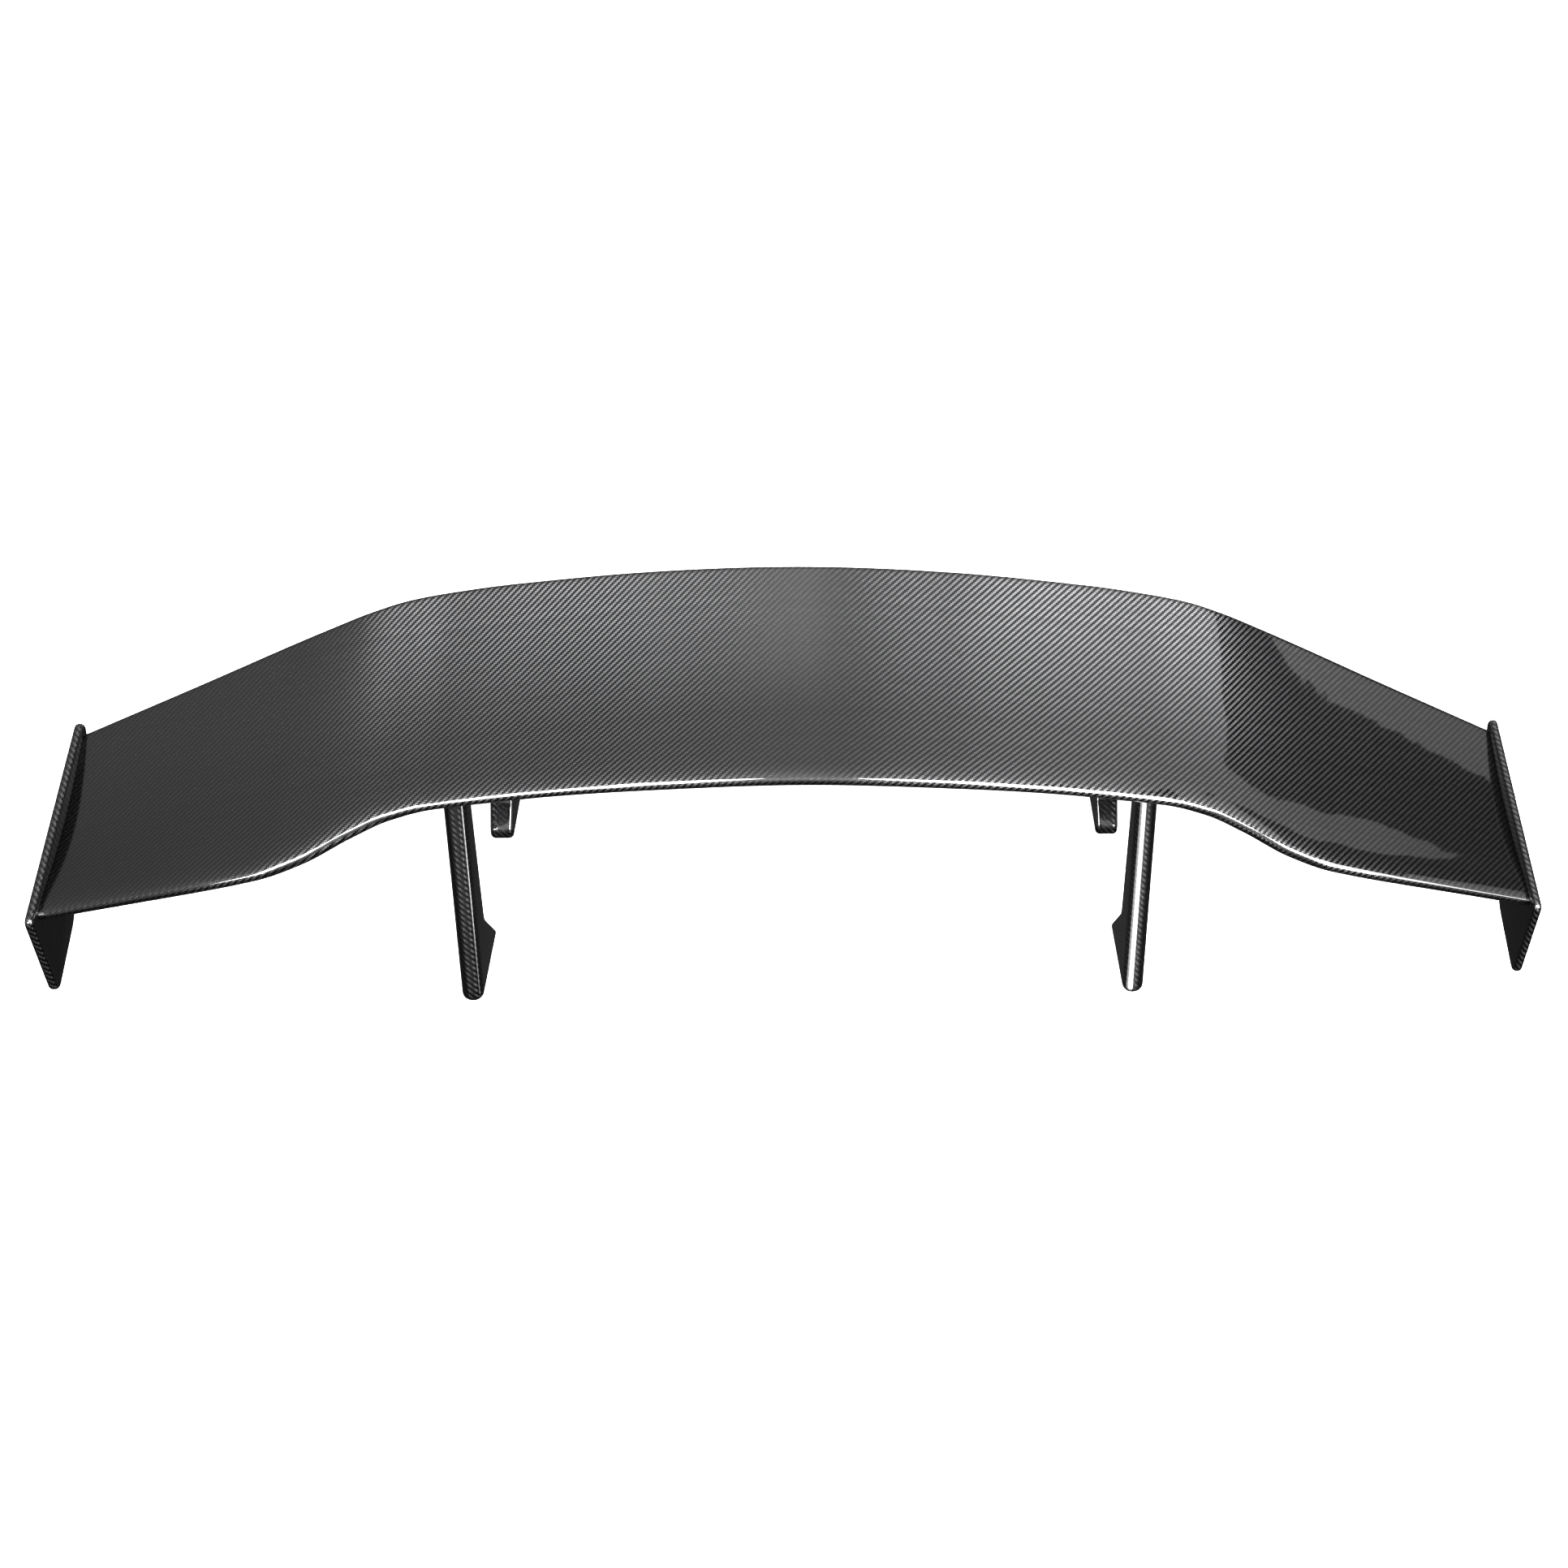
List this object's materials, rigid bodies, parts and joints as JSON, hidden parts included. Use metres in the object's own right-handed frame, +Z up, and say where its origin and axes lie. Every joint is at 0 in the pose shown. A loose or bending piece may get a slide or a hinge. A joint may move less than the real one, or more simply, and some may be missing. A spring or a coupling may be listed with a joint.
{
  "type": "racing rear wing",
  "caption": "Carbon fibre rear wing for a racing car: arched hollow blade between two small endplates, carried on a pair of A-frame uprights with flat feet.",
  "frame": {"origin": "middle of the wing's bounding box in plan, at the height of the feet undersides", "axes": "+X to the driver's left along the span, +Y rearward (leading edge faces -Y), +Z up"},
  "size_m": [1.714, 0.4672, 0.4703],
  "materials": {
    "lacquered_carbon": "clear-lacquered carbon fibre laminate, 2x2 twill",
    "dry_carbon": "unlacquered carbon fibre laminate over foam",
    "foam_core": "rigid structural foam, sealed faces",
    "alloy": "machined, fine bead-blasted",
    "stainless": "stainless screws and washers",
    "black_steel": "black oxide steel bolts"
  },
  "bodies": {
    "root": {"blade_lower_skin": "lacquered_carbon", "blade_upper_skin": "lacquered_carbon", "endplate_left": "lacquered_carbon", "endplate_right": "lacquered_carbon", "endplate_screw_left_1": "stainless", "endplate_screw_left_2": "stainless", "endplate_screw_left_3": "stainless", "endplate_screw_right_1": "stainless", "endplate_screw_right_2": "stainless", "endplate_screw_right_3": "stainless", "endplate_washer_left_1": "stainless", "endplate_washer_left_2": "stainless", "endplate_washer_left_3": "stainless", "endplate_washer_right_1": "stainless", "endplate_washer_right_2": "stainless", "endplate_washer_right_3": "stainless", "front_base_plate_left": "alloy", "front_base_plate_right": "alloy", "front_leg_left": "lacquered_carbon", "front_leg_right": "lacquered_carbon", "front_spar": "dry_carbon", "mount_block_left": "alloy", "mount_block_right": "alloy", "rail_bolt_left_1": "black_steel", "rail_bolt_left_2": "black_steel", "rail_bolt_right_1": "black_steel", "rail_bolt_right_2": "black_steel", "rear_base_plate_left": "alloy", "rear_base_plate_right": "alloy", "rear_leg_left": "lacquered_carbon", "rear_leg_right": "lacquered_carbon", "rear_spar": "dry_carbon", "rib_centre": "foam_core", "rib_inner_left": "foam_core", "rib_inner_right": "foam_core", "rib_outer_left": "foam_core", "rib_outer_right": "foam_core", "tip_rib_left": "dry_carbon", "tip_rib_right": "dry_carbon", "top_rail_left": "alloy", "top_rail_right": "alloy"}
  },
  "joints": []
}
